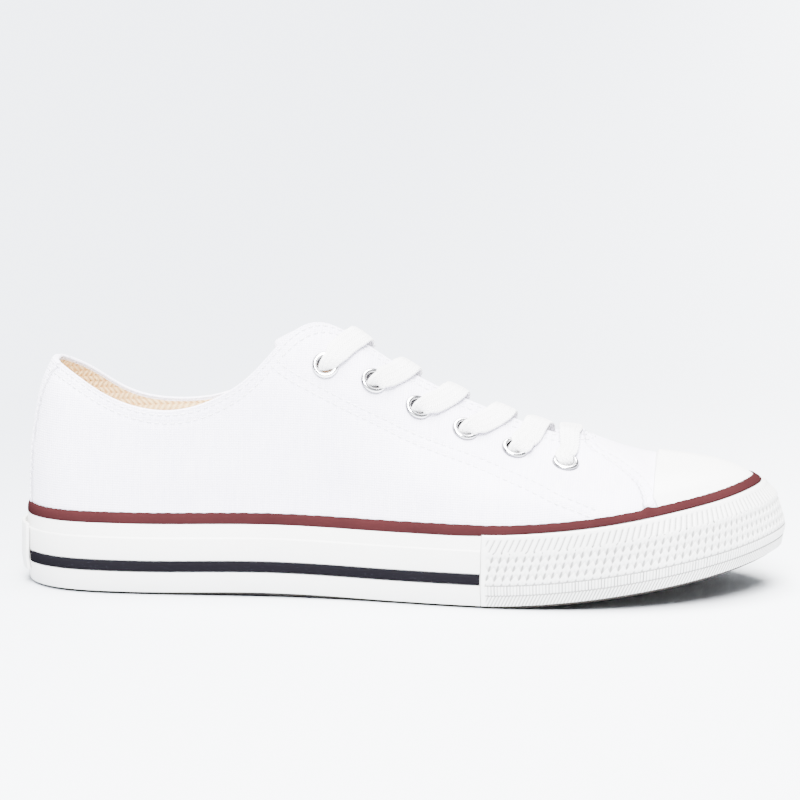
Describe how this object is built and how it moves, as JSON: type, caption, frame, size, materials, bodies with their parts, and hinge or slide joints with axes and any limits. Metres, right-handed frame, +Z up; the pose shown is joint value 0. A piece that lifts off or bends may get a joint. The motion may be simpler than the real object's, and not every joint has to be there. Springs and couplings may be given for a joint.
{
  "type": "canvas sneaker",
  "caption": "Low white canvas sneaker with a flat rubber sole, dark side stripe, maroon piping, rubber toe cap and ribbed toe bumper, laced up the front.",
  "frame": {"origin": "on the floor under the middle of the whole shoe's box", "axes": "+X towards the toe, +Y towards the inner (medial) side of this right shoe, +Z up"},
  "size_m": [0.2906, 0.1016, 0.1017],
  "materials": {
    "white_canvas": "plain weave cotton canvas, matt",
    "white_rubber": "vulcanised rubber, soft satin",
    "maroon_rubber": "coloured rubber piping, satin",
    "charcoal_rubber": "coloured rubber stripe, satin",
    "tread_rubber": "outsole rubber, matt",
    "lace_cotton": "flat woven cotton lace",
    "eyelet_metal": "nickel-plated, polished",
    "beige_twill": "twill lining cloth"
  },
  "bodies": {
    "root": {"outsole": "tread_rubber", "insole": "beige_twill", "foxing": "white_rubber", "stripe_lateral": "charcoal_rubber", "stripe_medial": "charcoal_rubber", "heel_patch": "white_rubber", "toe_bumper": "white_rubber", "piping": "maroon_rubber", "upper": "white_canvas", "toe_cap": "white_rubber", "tongue": "white_canvas", "lace_bar": "lace_cotton", "eyelet_lateral_1": "eyelet_metal", "eyelet_lateral_2": "eyelet_metal", "eyelet_lateral_3": "eyelet_metal", "eyelet_lateral_4": "eyelet_metal", "eyelet_lateral_5": "eyelet_metal", "eyelet_lateral_6": "eyelet_metal", "eyelet_medial_1": "eyelet_metal", "eyelet_medial_2": "eyelet_metal", "eyelet_medial_3": "eyelet_metal", "eyelet_medial_4": "eyelet_metal", "eyelet_medial_5": "eyelet_metal", "eyelet_medial_6": "eyelet_metal", "lace_cross_1": "lace_cotton", "lace_cross_2": "lace_cotton", "lace_cross_3": "lace_cotton", "lace_cross_4": "lace_cotton", "lace_cross_5": "lace_cotton"}
  },
  "joints": []
}
